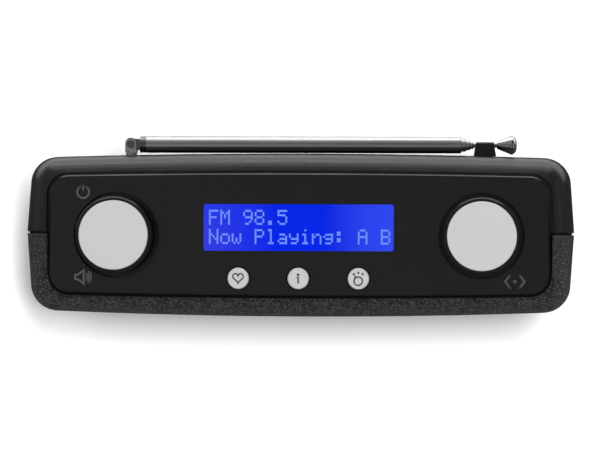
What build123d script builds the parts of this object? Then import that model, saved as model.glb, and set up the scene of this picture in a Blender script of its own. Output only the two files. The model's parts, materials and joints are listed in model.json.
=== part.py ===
from build123d import *

import os
from math import radians, tan

# A portable tabletop radio. Its case is two shells that meet on an upright seam: the front one is
# wrapped in cloth with the loudspeaker behind it, the rear one is bare plastic with the battery bay,
# the sockets and the telescopic aerial. The controls are on a panel let into the top.
#
# Millimetres. X runs to the right seen from the front, Y to the back, Z up. The origin is in the
# middle of the footprint, on the surface that the feet stand on.

os.makedirs("parts", exist_ok=True)


# ---------------------------------------------------------------- driving dimensions

# The case
CASE_WIDTH = 171.3  # at the seam, where it is widest
CASE_BOTTOM = 2.0
CASE_TOP = 106.0
CASE_MIDDLE = (CASE_TOP + CASE_BOTTOM) / 2
FRONT_DEPTH = 26.3  # from the seam to the front, cloth included
REAR_DEPTH = 24.65
SIDE_DRAFT = 4.0  # degrees
TOP_DRAFT = 1.5
CORNER_RADIUS = 10.0  # of the outline seen from the front
EDGE_RADIUS = 8.5  # where the front and back faces turn into the sides
FRONT_CROWN = 1.9  # how far the front face bows outwards
REAR_CROWN = 1.5
WALL = 2.2
CLOTH = 0.7
SEAM_CHAMFER = 0.3
CLOTH_GAP = 0.6  # between the rear shell's edge and the cloth

# The aerial, measured from the seam
AERIAL_OUT = 27.5
AERIAL_Z = 93.0
TIP_RADIUS = 3.0
POST_RADIUS = 1.75
PIVOT_X = -53.3
CLIP_X = 57.75

# The seam's place puts the origin in the middle of the whole depth, aerial included
SEAM_Y = (FRONT_DEPTH - AERIAL_OUT - TIP_RADIUS) / 2
AERIAL_Y = SEAM_Y + AERIAL_OUT
INNER_WALL = SEAM_Y + REAR_DEPTH - WALL - 0.6  # the rear wall's inside at the aerial's post

# The control panel, measured from the seam
PANEL_WIDTH = 155.3
PANEL_FRONT = 19.7
PANEL_BACK = 18.3
PANEL_BOW = 0.9
PANEL_CORNER = 6.0
PANEL_TOP = 105.4
PANEL_PLATE = 2.2
PANEL_SKIRT = 1.0
PANEL_GAP = 0.9
PANEL_UNDER = PANEL_TOP - PANEL_PLATE
POCKET_WALL = 1.6
LEDGE_TOP = 101.2
LEDGE_BOTTOM = 99.6
LEDGE_WIDTH = 1.8

# The knobs and their encoders
KNOB_X = 56.7
KNOB_Y = SEAM_Y - 1.0
KNOB_RADIUS = 11.9
KNOB_BOTTOM = 103.2
KNOB_TOP = 114.4
DISC_RADIUS = 10.7
WELL_RADIUS = 13.3
WELL_FLOOR = 100.4
SHAFT_RADIUS = 3.0
SHAFT_TOP = 111.8
BOARD_TOP = 92.0  # of the control board
BOARD_THICK = 1.6

# The buttons
BUTTON_Y = SEAM_Y - 14.3
BUTTON_PITCH = 18.66
BUTTON_RADIUS = 3.3
BUTTON_HOLE = 3.75
BUTTON_TOP = 106.0

# The display
DISPLAY_Y = SEAM_Y + 1.46
WINDOW = (59.0, 14.5)

# The loudspeaker
SPEAKER_Z = 44.0
SPEAKER_Y = -22.5  # its flange's front face

# The battery bay
BAY_BOTTOM = 11.1
BAY_TOP = 44.3
BAY_HALF = 54.8
HINGE_Y = 20.5
HINGE_Z = 13.4
HINGE_RADIUS = 1.3
CELL_Y = 12.0
CELL_ROWS = (20.1, 35.2)
CELL_RADIUS = 7.1
CELL_LENGTH = 49.2

# The main board and the sockets on it
MAIN_Y = 12.0
SOCKET_Z = 62.0
PHONES_X = 58.0
POWER_X = 42.0
MOUTH_Y = 21.9  # where the sockets open
SOCKET_FACE = 19.1  # of the square bodies behind their round mouths

# Fixings
CASE_SCREWS = [(x, z) for x in (-75.0, 75.0) for z in (13.0, 86.0)]
MAIN_SCREWS = [(x, z) for x in (-61.0, 61.0) for z in (51.0, 79.0)]
PANEL_SCREWS = [(x, SEAM_Y + y) for x in (-38.7, 38.7) for y in (-12.0, 12.0)]
FEET = [(x, SEAM_Y + y) for x in (-62.0, 62.0) for y in (-13.0, 13.0)]
CONTROL_UNDER = Plane((0, 0, BOARD_TOP - BOARD_THICK), x_dir=(-1, 0, 0), z_dir=(0, 0, -1))
FIT = 0.02  # radial room where one fixed round part sits in another


# ---------------------------------------------------------------- helpers


def keep(piece, name):
    """Names a finished piece and writes it to its own file."""
    piece.part.label = name
    export_step(piece.part, f"parts/{name}.step")


def upright(y):
    """The XZ plane at that y. Extruding from it by a positive amount runs forwards, towards -Y."""
    return Plane.XZ.offset(-y)


def half_body(side, inset=0.0, chamfer_by=0.0):
    """The outer form of the front (-1) or rear (1) half of the case, moved inwards by inset."""
    full_depth = FRONT_DEPTH if side < 0 else REAR_DEPTH
    crown = FRONT_CROWN if side < 0 else REAR_CROWN
    crown_radius = ((CASE_WIDTH / 2) ** 2 + crown**2) / (2 * crown)
    sections = [(0.0, inset), (full_depth - inset + 1.0, inset)]
    if chamfer_by:
        sections = [(0.0, inset + chamfer_by), (chamfer_by, inset), sections[1]]
    with BuildPart() as half:
        for distance, drawn_in in sections:
            with BuildSketch(upright(SEAM_Y + side * distance)):
                with Locations((0, CASE_MIDDLE)):
                    RectangleRounded(
                        CASE_WIDTH - 2 * (drawn_in + distance * tan(radians(SIDE_DRAFT))),
                        CASE_TOP - CASE_BOTTOM - 2 * (drawn_in + distance * tan(radians(TOP_DRAFT))),
                        CORNER_RADIUS - drawn_in,
                    )
        loft(ruled=True)
        with BuildSketch(Plane.XY):
            with Locations((0, SEAM_Y + side * (full_depth - crown_radius))):
                Circle(crown_radius - inset)
        extrude(amount=CASE_TOP + 5, mode=Mode.INTERSECT)
        face = half.faces().sort_by(Axis.Y)[0 if side < 0 else -1]
        fillet(face.edges(), EDGE_RADIUS - inset)
    return half.part


def panel_outline(grow):
    """The control panel's outline seen from above, about the seam, grown all round."""
    half = PANEL_WIDTH / 2 + grow
    front, back = -(PANEL_FRONT + grow), PANEL_BACK + grow
    with BuildSketch() as outline:
        with BuildLine():
            ThreePointArc((-half, front + PANEL_BOW), (0, front), (half, front + PANEL_BOW))
            Line((half, front + PANEL_BOW), (half, back - PANEL_BOW))
            ThreePointArc((half, back - PANEL_BOW), (0, back), (-half, back - PANEL_BOW))
            Line((-half, back - PANEL_BOW), (-half, front + PANEL_BOW))
        make_face()
        fillet(outline.vertices(), PANEL_CORNER + grow)
    return outline.sketch


def panel_prism(grow, bottom, top, side=0, inset=0.0):
    """The panel's outline stood up between two heights, kept to one half of the case if side is given."""
    with BuildPart() as prism:
        with BuildSketch(Plane((0, SEAM_Y, bottom))):
            add(panel_outline(grow))
        extrude(amount=top - bottom)
        if side:
            add(half_body(side, inset), mode=Mode.INTERSECT)
    return prism.part


def posts(side, places, radius, near, far, inset):
    """Round posts along Y between two distances from the seam, trimmed to one half of the case."""
    with BuildPart() as made:
        with BuildSketch(upright(SEAM_Y + side * near)):
            with Locations(*places):
                Circle(radius)
        extrude(amount=-side * (far - near))
        add(half_body(side, inset), mode=Mode.INTERSECT)
    return made.part


def lead(points, radius, turn):
    """A round wire along straight runs that are joined by arcs."""
    with BuildPart() as wire:
        with BuildLine() as path:
            FilletPolyline(*points, radius=turn)
        with BuildSketch(Plane(path.line @ 0, z_dir=path.line % 0)):
            Circle(radius)
        sweep()
    return wire.part


# ---------------------------------------------------------------- front shell and its cloth

FRONT_POCKET = PANEL_GAP + CLOTH  # the cloth turns down inside the pocket
RING_OUTER, RING_INNER = 38.0, 31.0

with BuildPart() as front_shell:
    add(half_body(-1, CLOTH))
    add(half_body(-1, CLOTH + WALL), mode=Mode.SUBTRACT)
    # The pocket that the control panel drops into, with a ledge under its skirt
    add(panel_prism(FRONT_POCKET + POCKET_WALL, LEDGE_BOTTOM, CASE_TOP, -1, CLOTH))
    add(panel_prism(FRONT_POCKET, LEDGE_TOP, CASE_TOP + 1), mode=Mode.SUBTRACT)
    add(panel_prism(-LEDGE_WIDTH, LEDGE_BOTTOM - 1, CASE_TOP), mode=Mode.SUBTRACT)
    # Screw posts, and the ring that the loudspeaker is screwed to
    add(posts(-1, CASE_SCREWS, 3.5, 0.3, FRONT_DEPTH, CLOTH + 0.5))
    add(posts(-1, [(0, SPEAKER_Z)], RING_OUTER, -SPEAKER_Y + 1.0 + SEAM_Y, FRONT_DEPTH, CLOTH + 0.5))
    with BuildSketch(upright(SPEAKER_Y)):
        with Locations((0, SPEAKER_Z)):
            Circle(RING_INNER)
    extrude(amount=2.6, mode=Mode.SUBTRACT)
    with BuildSketch(upright(SEAM_Y)):
        with Locations(*CASE_SCREWS):
            Circle(1.5 + FIT)
    extrude(amount=16, mode=Mode.SUBTRACT)
    # Slots in the baffle, cut to a circle
    with BuildSketch(upright(SPEAKER_Y)):
        with Locations((0, SPEAKER_Z)):
            with GridLocations(0, 6.2, 1, 9):
                SlotOverall(58, 3.4)
            Circle(28.5, mode=Mode.INTERSECT)
    extrude(amount=6, mode=Mode.SUBTRACT)
    # Pilot holes for the loudspeaker's screws
    with BuildSketch(upright(SPEAKER_Y - 1.0)):
        with Locations((0, SPEAKER_Z)):
            with PolarLocations(34.5, 4, 45):
                Circle(1.0 + FIT)
    extrude(amount=2.0, mode=Mode.SUBTRACT)
    # Seats for the two front feet
    with BuildSketch(Plane.XY):
        with Locations(*[p for p in FEET if p[1] < SEAM_Y]):
            Circle(5.0 + FIT)
    extrude(amount=3.6, mode=Mode.SUBTRACT)
keep(front_shell, "front_shell")

with BuildPart() as grille_cloth:
    add(half_body(-1))
    add(half_body(-1, CLOTH), mode=Mode.SUBTRACT)
    # Its edge turns down into the panel's pocket
    add(panel_prism(FRONT_POCKET, LEDGE_TOP, CASE_TOP, -1))
    add(panel_prism(PANEL_GAP, LEDGE_TOP - 1, CASE_TOP + 1), mode=Mode.SUBTRACT)
    with BuildSketch(upright(SEAM_Y)):
        with Locations((0, CASE_MIDDLE)):
            Rectangle(CASE_WIDTH + 2, CASE_TOP)
    extrude(amount=CLOTH_GAP, mode=Mode.SUBTRACT)
    with BuildSketch(Plane.XY):
        with Locations(*[p for p in FEET if p[1] < SEAM_Y]):
            Circle(5.0 + FIT)
    extrude(amount=4, mode=Mode.SUBTRACT)
keep(grille_cloth, "grille_cloth")


# ---------------------------------------------------------------- rear shell

BOSS_FACE = 6.0  # from the seam to where the case screws' heads sit
STANDOFF_Y = MAIN_Y + BOARD_THICK
LIP_OUT = CLOTH + WALL + 0.15
LIP_IN = LIP_OUT + 1.0

with BuildPart() as seam_lip:
    # A tongue round the seam that slips inside the front shell
    for near, far, outer in ((-1.5, 0.0, LIP_OUT), (0.0, 2.0, WALL - 0.2)):
        with BuildSketch(upright(SEAM_Y + far)):
            for inset, mode in ((outer, Mode.ADD), (LIP_IN, Mode.SUBTRACT)):
                with Locations((0, CASE_MIDDLE)):
                    RectangleRounded(
                        CASE_WIDTH - 2 * inset,
                        CASE_TOP - CASE_BOTTOM - 2 * inset,
                        CORNER_RADIUS - inset,
                        mode=mode,
                    )
        extrude(amount=far - near)
    add(panel_prism(FRONT_POCKET + POCKET_WALL + 0.2, LEDGE_BOTTOM - 2, CASE_TOP), mode=Mode.SUBTRACT)

with BuildPart() as rear_shell:
    add(half_body(1, 0, SEAM_CHAMFER))
    add(half_body(1, WALL), mode=Mode.SUBTRACT)
    add(panel_prism(PANEL_GAP + POCKET_WALL, LEDGE_BOTTOM, CASE_TOP, 1))
    add(panel_prism(PANEL_GAP, LEDGE_TOP, CASE_TOP + 1), mode=Mode.SUBTRACT)
    add(panel_prism(-LEDGE_WIDTH, LEDGE_BOTTOM - 1, CASE_TOP), mode=Mode.SUBTRACT)
    add(seam_lip.part)
    # Posts for the case screws, sunk from behind, and standoffs for the main board
    add(posts(1, CASE_SCREWS, 4.0, 0.0, REAR_DEPTH, 0.5))
    add(posts(1, MAIN_SCREWS, 3.0, STANDOFF_Y - SEAM_Y, REAR_DEPTH, 0.5))
    with BuildSketch(upright(SEAM_Y + BOSS_FACE)):
        with Locations(*CASE_SCREWS):
            Circle(3.1)
    extrude(amount=-REAR_DEPTH, mode=Mode.SUBTRACT)
    with BuildSketch(upright(SEAM_Y + BOSS_FACE)):
        with Locations(*CASE_SCREWS):
            Circle(1.6)
    extrude(amount=BOSS_FACE, mode=Mode.SUBTRACT)
    with BuildSketch(upright(STANDOFF_Y)):
        with Locations(*MAIN_SCREWS):
            Circle(1.1 + FIT)
    extrude(amount=-5, mode=Mode.SUBTRACT)
    # The battery bay's opening, and the cheeks that carry its door
    with BuildSketch(upright(HINGE_Y + 1.0)):
        with Locations((-BAY_HALF - 1.4, HINGE_Z), (BAY_HALF + 1.4, HINGE_Z)):
            Rectangle(2.8, 5.0)
    extrude(amount=4.0)
    with BuildSketch(upright(SEAM_Y + REAR_DEPTH + 1)):
        with Locations((0, (BAY_BOTTOM + BAY_TOP) / 2)):
            Rectangle(2 * BAY_HALF, BAY_TOP - BAY_BOTTOM)
    extrude(amount=6, mode=Mode.SUBTRACT)
    with BuildSketch(Plane.YZ.offset(-BAY_HALF - 2.0)):
        with Locations((HINGE_Y, HINGE_Z)):
            Circle(0.86)
    extrude(amount=2 * BAY_HALF + 4.0, mode=Mode.SUBTRACT)
    # Holes for the sockets, the aerial's post and its clip
    with BuildSketch(upright(SEAM_Y + REAR_DEPTH + 1)):
        with Locations((PHONES_X, SOCKET_Z)):
            Circle(3.3)
        with Locations((POWER_X, SOCKET_Z)):
            Circle(4.3)
        with Locations((PIVOT_X, AERIAL_Z)):
            Circle(POST_RADIUS + 0.06)
        with Locations((CLIP_X, AERIAL_Z)):
            Rectangle(4.2, 3.6)
    extrude(amount=6, mode=Mode.SUBTRACT)
    # Seats for the two rear feet
    with BuildSketch(Plane.XY):
        with Locations(*[p for p in FEET if p[1] > SEAM_Y]):
            Circle(5.0 + FIT)
    extrude(amount=3.6, mode=Mode.SUBTRACT)
keep(rear_shell, "rear_shell")


# ---------------------------------------------------------------- control panel and its window

with BuildPart() as top_panel:
    add(panel_prism(0, LEDGE_TOP, PANEL_TOP))
    chamfer(top_panel.faces().sort_by(Axis.Z)[-1].edges(), 0.35)
    add(panel_prism(-PANEL_SKIRT, LEDGE_TOP - 1, PANEL_UNDER), mode=Mode.SUBTRACT)
    # Wells for the knobs
    with BuildSketch(Plane.XY.offset(WELL_FLOOR - 1.2)):
        with Locations((-KNOB_X, KNOB_Y), (KNOB_X, KNOB_Y)):
            Circle(WELL_RADIUS + 1.3)
    extrude(amount=PANEL_UNDER - WELL_FLOOR + 1.2)
    with BuildSketch(Plane.XY.offset(WELL_FLOOR)):
        with Locations((-KNOB_X, KNOB_Y), (KNOB_X, KNOB_Y)):
            Circle(WELL_RADIUS)
    extrude(amount=PANEL_TOP - WELL_FLOOR, mode=Mode.SUBTRACT)
    with BuildSketch(Plane.XY.offset(WELL_FLOOR - 1.2)):
        with Locations((-KNOB_X, KNOB_Y), (KNOB_X, KNOB_Y)):
            Circle(3.7)
    extrude(amount=1.2, mode=Mode.SUBTRACT)
    # Holes for the buttons and the display's window
    with BuildSketch(Plane.XY.offset(PANEL_UNDER)):
        with Locations((0, BUTTON_Y)):
            with GridLocations(BUTTON_PITCH, 0, 3, 1):
                Circle(BUTTON_HOLE)
        with Locations((0, DISPLAY_Y)):
            RectangleRounded(*WINDOW, 0.8)
    extrude(amount=PANEL_PLATE, mode=Mode.SUBTRACT)
    # Posts that carry the control board
    with BuildSketch(Plane.XY.offset(BOARD_TOP)):
        with Locations(*PANEL_SCREWS):
            Circle(2.5)
    extrude(amount=PANEL_UNDER - BOARD_TOP)
    with BuildSketch(Plane.XY.offset(BOARD_TOP)):
        with Locations(*PANEL_SCREWS):
            Circle(1.1 + FIT)
    extrude(amount=7, mode=Mode.SUBTRACT)
keep(top_panel, "top_panel")

with BuildPart() as display_window:
    with BuildSketch(Plane.XY.offset(PANEL_UNDER - 1.2)):
        with Locations((0, DISPLAY_Y)):
            RectangleRounded(WINDOW[0] + 4, WINDOW[1] + 3.5, 1.5)
    extrude(amount=1.2)
    with BuildSketch(Plane.XY.offset(PANEL_UNDER)):
        with Locations((0, DISPLAY_Y)):
            RectangleRounded(WINDOW[0] - 0.1, WINDOW[1] - 0.1, 0.75)
    extrude(amount=PANEL_PLATE - 0.15)
keep(display_window, "display_window")


# ---------------------------------------------------------------- display module

GLASS_BOTTOM = 99.6
LIGHT_BOTTOM = 96.5

with BuildPart() as display_glass:
    with BuildSketch(Plane.XY.offset(GLASS_BOTTOM)):
        with Locations((0, DISPLAY_Y)):
            Rectangle(64.5, 18.6)
    extrude(amount=1.9)
keep(display_glass, "display_glass")

with BuildPart() as display_backlight:
    with BuildSketch(Plane.XY.offset(LIGHT_BOTTOM)):
        with Locations((0, DISPLAY_Y)):
            Rectangle(64.5, 18.6)
        with Locations((-33.0, DISPLAY_Y), (33.0, DISPLAY_Y)):
            Rectangle(1.5, 6.0)  # the lamps at its two ends
    extrude(amount=3.0)
keep(display_backlight, "display_backlight")

with BuildPart() as display_frame:
    with BuildSketch(Plane.XY.offset(LIGHT_BOTTOM - 0.3)):
        with Locations((0, DISPLAY_Y)):
            Rectangle(68.6, 20.0)
            Rectangle(67.8, 19.2, mode=Mode.SUBTRACT)
    extrude(amount=5.6)
    with BuildSketch(Plane.XY.offset(GLASS_BOTTOM + 1.95)):
        with Locations((0, DISPLAY_Y)):
            Rectangle(68.6, 20.0)
            Rectangle(61.5, 16.4, mode=Mode.SUBTRACT)
    extrude(amount=0.4)
keep(display_frame, "display_frame")

with BuildPart() as display_board:
    with BuildSketch(Plane.XY.offset(94.6)):
        with Locations((0, DISPLAY_Y)):
            Rectangle(70.0, 21.0)
    extrude(amount=1.5)
    with BuildSketch(Plane.XY.offset(BOARD_TOP)):
        with Locations((0, DISPLAY_Y + 9.0)):
            with GridLocations(2.54, 0, 16, 1):
                Rectangle(0.6, 0.6)  # the header's pins
    extrude(amount=94.6 - BOARD_TOP)
keep(display_board, "display_board")


# ---------------------------------------------------------------- control board, switches, encoders

with BuildPart() as control_board:
    with BuildSketch(Plane.XY.offset(BOARD_TOP - BOARD_THICK)):
        with Locations((0, SEAM_Y - 1.5)):
            RectangleRounded(142, 33, 2)
        with Locations(*PANEL_SCREWS):
            Circle(1.3, mode=Mode.SUBTRACT)
    extrude(amount=BOARD_THICK)
keep(control_board, "control_board")

with BuildPart() as button_switches:
    with BuildSketch(Plane.XY.offset(BOARD_TOP)):
        with Locations((0, BUTTON_Y)):
            with GridLocations(BUTTON_PITCH, 0, 3, 1):
                Rectangle(6.0, 6.0)
    extrude(amount=4.4)
    chamfer(button_switches.edges().filter_by(Axis.Z), 0.6)
    with BuildSketch(Plane.XY.offset(BOARD_TOP + 3.0)):
        with Locations((0, BUTTON_Y)):
            with GridLocations(BUTTON_PITCH, 0, 3, 1):
                Circle(1.85)
    extrude(amount=1.4, mode=Mode.SUBTRACT)
keep(button_switches, "button_switches")

for index, name in enumerate(("favourite_button", "info_button", "menu_button")):
    x = (index - 1) * BUTTON_PITCH
    with BuildPart() as button:
        with BuildSketch(Plane.XZ.offset(-BUTTON_Y)):
            with BuildLine():
                Polyline(
                    (x, BOARD_TOP + 3.6),
                    (x + 1.6, BOARD_TOP + 3.6),
                    (x + 1.6, PANEL_UNDER - 1.3),
                    (x + 4.15, PANEL_UNDER - 1.3),
                    (x + 4.15, PANEL_UNDER - 0.3),
                    (x + BUTTON_RADIUS, PANEL_UNDER - 0.3),
                    (x + BUTTON_RADIUS, BUTTON_TOP - 0.3),
                    (x + BUTTON_RADIUS - 0.3, BUTTON_TOP),
                    (x, BUTTON_TOP),
                    close=True,
                )
            make_face()
        revolve(axis=Axis((x, BUTTON_Y, 0), (0, 0, 1)))
    keep(button, name)

for name, x in (("volume", -KNOB_X), ("tuning", KNOB_X)):
    upright_axis = Axis((x, KNOB_Y, 0), (0, 0, 1))

    with BuildPart() as encoder_body:
        with BuildSketch(Plane.XY.offset(BOARD_TOP)):
            with Locations((x, KNOB_Y)):
                Rectangle(12.4, 13.4)
        extrude(amount=6.4)
        chamfer(encoder_body.edges().filter_by(Axis.Z), 0.8)
        with BuildSketch(Plane.XY.offset(BOARD_TOP + 6.4)):
            with Locations((x, KNOB_Y)):
                Circle(3.5)
        extrude(amount=4.4)
        with BuildSketch(Plane.XY.offset(BOARD_TOP + 1.0)):
            with Locations((x, KNOB_Y)):
                Circle(SHAFT_RADIUS + 0.06)
        extrude(amount=10, mode=Mode.SUBTRACT)
    keep(encoder_body, f"{name}_encoder")

    with BuildPart() as encoder_plunger:
        with BuildSketch(Plane.XY.offset(BOARD_TOP + 1.8)):
            with Locations((x, KNOB_Y)):
                Circle(2.6)
        extrude(amount=1.0)
    keep(encoder_plunger, f"{name}_switch_plunger")

    with BuildPart() as encoder_shaft:
        with BuildSketch(Plane.XY.offset(BOARD_TOP + 2.85)):
            with Locations((x, KNOB_Y)):
                Circle(SHAFT_RADIUS)
        extrude(amount=SHAFT_TOP - BOARD_TOP - 2.85)
        # The flat that keys it to the knob
        with BuildSketch(Plane.XY.offset(KNOB_BOTTOM + 0.8)):
            with Locations((x, KNOB_Y + 2.5)):
                Rectangle(8, 2.0)
        extrude(amount=SHAFT_TOP, mode=Mode.SUBTRACT)
    keep(encoder_shaft, f"{name}_shaft")

    with BuildPart() as knob:
        with BuildSketch(Plane.XZ.offset(-KNOB_Y)):
            with BuildLine():
                Polyline(
                    (x, KNOB_TOP - 0.8),
                    (x, SHAFT_TOP + 0.2),
                    (x + SHAFT_RADIUS + FIT, SHAFT_TOP + 0.2),
                    (x + SHAFT_RADIUS + FIT, KNOB_BOTTOM + 0.8),
                    (x + 5.2, KNOB_BOTTOM + 0.8),
                    (x + 5.2, SHAFT_TOP),
                    (x + KNOB_RADIUS - 1.6, SHAFT_TOP),
                    (x + KNOB_RADIUS - 1.6, KNOB_BOTTOM),
                    (x + KNOB_RADIUS, KNOB_BOTTOM),
                    (x + KNOB_RADIUS, KNOB_TOP - 0.45),
                    (x + KNOB_RADIUS - 0.45, KNOB_TOP),
                    (x + DISC_RADIUS + FIT, KNOB_TOP),
                    (x + DISC_RADIUS + FIT, KNOB_TOP - 0.8),
                    close=True,
                )
            make_face()
        revolve(axis=upright_axis)
        # The key inside its bore
        with BuildSketch(Plane.XY.offset(KNOB_BOTTOM + 1.2)):
            with Locations((x, KNOB_Y + 2.8)):
                Rectangle(5.2, 2.4)
            with Locations((x, KNOB_Y)):
                Circle(SHAFT_RADIUS + 1.0, mode=Mode.INTERSECT)
            with Locations((x, KNOB_Y + 1.5 + FIT - 10)):
                Rectangle(20, 20, mode=Mode.SUBTRACT)
        extrude(amount=SHAFT_TOP - KNOB_BOTTOM - 1.2)
    keep(knob, f"{name}_knob")

    with BuildPart() as knob_disc:
        with BuildSketch(Plane.XY.offset(KNOB_TOP - 0.8)):
            with Locations((x, KNOB_Y)):
                Circle(DISC_RADIUS)
        extrude(amount=1.15)
        fillet(knob_disc.edges().group_by(Axis.Z)[-1], 0.3)
    keep(knob_disc, f"{name}_knob_disc")

with BuildPart() as encoder_nuts:
    with BuildSketch(Plane.XY.offset(WELL_FLOOR)):
        with Locations((-KNOB_X, KNOB_Y), (KNOB_X, KNOB_Y)):
            RegularPolygon(5.0, 6, major_radius=False)
            Circle(3.5 + FIT, mode=Mode.SUBTRACT)
    extrude(amount=1.8)
keep(encoder_nuts, "encoder_nuts")

# ---------------------------------------------------------------- loudspeaker

SPEAKER_PLANE = Plane((0, SPEAKER_Y, SPEAKER_Z))  # x is the radius, y the depth behind the flange
SPEAKER_AXIS = Axis((0, SPEAKER_Y, SPEAKER_Z), (0, 1, 0))


def turned(points):
    """A ring of the loudspeaker, from its section's corners as (radius, depth)."""
    with BuildPart() as ring:
        with BuildSketch(SPEAKER_PLANE):
            with BuildLine():
                Polyline(*points, close=True)
            make_face()
        revolve(axis=SPEAKER_AXIS)
    return ring.part


with BuildPart() as speaker_gasket:
    add(turned([(31.2, -1.0), (35.0, -1.0), (35.0, 0.0), (31.2, 0.0)]))
    with BuildSketch(upright(SPEAKER_Y)):
        with Locations((0, SPEAKER_Z)):
            with PolarLocations(34.5, 4, 45):
                Circle(1.4)
    extrude(amount=2, mode=Mode.SUBTRACT)
keep(speaker_gasket, "speaker_gasket")

with BuildPart() as speaker_frame:
    add(
        turned(
            [
                (29.5, 0.0), (37.5, 0.0), (37.5, 1.0), (30.6, 1.0), (29.6, 4.0), (19.0, 12.5),
                (19.0, 13.5), (10.5, 13.5), (10.5, 12.5), (18.2, 12.5), (28.7, 3.8), (29.5, 1.0),
            ]
        )
    )
    # Windows between its arms
    for turn in range(6):
        with BuildSketch(Plane(SPEAKER_PLANE.origin, z_dir=(0, 1, 0))):
            with PolarLocations(24.0, 1, turn * 60):
                Rectangle(7.4, 11.0)
        extrude(amount=11.9, mode=Mode.SUBTRACT)
    with BuildSketch(upright(SPEAKER_Y + 2)):
        with Locations((0, SPEAKER_Z)):
            with PolarLocations(34.5, 4, 45):
                Circle(1.3)
    extrude(amount=4, mode=Mode.SUBTRACT)
keep(speaker_frame, "speaker_frame")

with BuildPart() as speaker_surround:
    with BuildSketch(SPEAKER_PLANE):
        with Locations((27.0, 0.6)):
            Circle(2.4)
            Circle(2.0, mode=Mode.SUBTRACT)
            with Locations((0, 3.0)):
                Rectangle(6, 6, mode=Mode.SUBTRACT)
    revolve(axis=SPEAKER_AXIS)
keep(speaker_surround, "speaker_surround")

with BuildPart() as speaker_cone:
    add(turned([(24.9, 0.7), (24.9, 1.2), (9.3, 9.4), (9.3, 8.8)]))
keep(speaker_cone, "speaker_cone")

with BuildPart() as speaker_dust_cap:
    with BuildSketch(SPEAKER_PLANE):
        with Locations((0, 21.6)):
            Circle(16.2)
            Circle(15.8, mode=Mode.SUBTRACT)
        with Locations((4.6, 6.9)):
            Rectangle(9.2, 3.4, mode=Mode.INTERSECT)
    revolve(axis=SPEAKER_AXIS)
keep(speaker_dust_cap, "speaker_dust_cap")

with BuildPart() as voice_coil:
    add(turned([(8.9, 9.45), (9.25, 9.45), (9.25, 13.0), (9.6, 13.0), (9.6, 17.5), (8.9, 17.5)]))
keep(voice_coil, "voice_coil")

with BuildPart() as speaker_spider:
    folds = [(9.3 + 0.92 * n, 11.3 + (0.5 if n % 2 else -0.5)) for n in range(10)]
    add(turned(folds + [(radius, depth + 0.3) for radius, depth in reversed(folds)]))
keep(speaker_spider, "speaker_spider")

with BuildPart() as speaker_magnet:
    add(turned([(11.0, 16.05), (20.0, 16.05), (20.0, 21.5), (11.0, 21.5)]))
keep(speaker_magnet, "speaker_magnet")

with BuildPart() as speaker_pole_plates:
    add(turned([(9.9, 13.55), (18.0, 13.55), (18.0, 16.0), (9.9, 16.0)]))
    add(turned([(0, 13.5), (8.6, 13.5), (8.6, 21.55), (19.0, 21.55), (19.0, 24.0), (0, 24.0)]))
keep(speaker_pole_plates, "speaker_pole_plates")

with BuildPart() as speaker_screws:
    with BuildSketch(upright(SPEAKER_Y + 2.6)):
        with Locations((0, SPEAKER_Z)):
            with PolarLocations(34.5, 4, 45):
                Circle(2.2)
    extrude(amount=1.6)
    with BuildSketch(upright(SPEAKER_Y + 1.0)):
        with Locations((0, SPEAKER_Z)):
            with PolarLocations(34.5, 4, 45):
                Circle(1.0)
    extrude(amount=3.6)
keep(speaker_screws, "speaker_screws")


# ---------------------------------------------------------------- batteries and their door

TRAY_FLOOR, TRAY_RIM = 3.5, 18.4
TRAY_WALL = 1.2
TRAY_HALF = 53.5
TRAY_BOTTOM, TRAY_TOP = 11.5, 43.8

with BuildPart() as battery_tray:
    with BuildSketch(upright(TRAY_RIM)):
        with Locations((0, (TRAY_BOTTOM + TRAY_TOP) / 2)):
            Rectangle(2 * TRAY_HALF, TRAY_TOP - TRAY_BOTTOM)
    extrude(amount=TRAY_RIM - TRAY_FLOOR)
    with BuildSketch(upright(TRAY_RIM)):
        with Locations((0, (TRAY_BOTTOM + TRAY_TOP) / 2)):
            Rectangle(2 * (TRAY_HALF - TRAY_WALL), TRAY_TOP - TRAY_BOTTOM - 2 * TRAY_WALL)
    extrude(amount=TRAY_RIM - TRAY_FLOOR - TRAY_WALL, mode=Mode.SUBTRACT)
keep(battery_tray, "battery_tray")

with BuildPart() as battery_cells:
    for row, z in enumerate(CELL_ROWS):
        way = 1 if row else -1  # the two rows lie head to tail
        for middle in (-25.3, 25.3):
            with BuildSketch(Plane.YZ.offset(middle - CELL_LENGTH / 2)):
                with Locations((CELL_Y, z)):
                    Circle(CELL_RADIUS)
            extrude(amount=CELL_LENGTH)
            with BuildSketch(Plane.YZ.offset(middle + way * CELL_LENGTH / 2)):
                with Locations((CELL_Y, z)):
                    Circle(2.7)
            extrude(amount=way * 1.3)
keep(battery_cells, "battery_cells")

with BuildPart() as battery_contacts:
    for x in (-TRAY_HALF + TRAY_WALL, TRAY_HALF - TRAY_WALL - 0.3):
        with BuildSketch(Plane.YZ.offset(x)):
            with Locations(*[(CELL_Y - 0.5, z) for z in CELL_ROWS]):
                Rectangle(11.0, 11.0)
        extrude(amount=0.3)
    # Spring coils at each row's flat end, pressed nearly shut
    for z, x, way in ((CELL_ROWS[0], 52.0, -1), (CELL_ROWS[1], -52.0, 1)):
        for turn in range(3):
            with BuildPart(mode=Mode.PRIVATE) as coil:
                Torus(4.6 - 0.9 * turn, 0.3, rotation=(0, 90, 0))
            add(coil.part.moved(Location((x + way * (0.3 + 0.58 * turn), CELL_Y, z))))
keep(battery_contacts, "battery_contacts")

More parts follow.
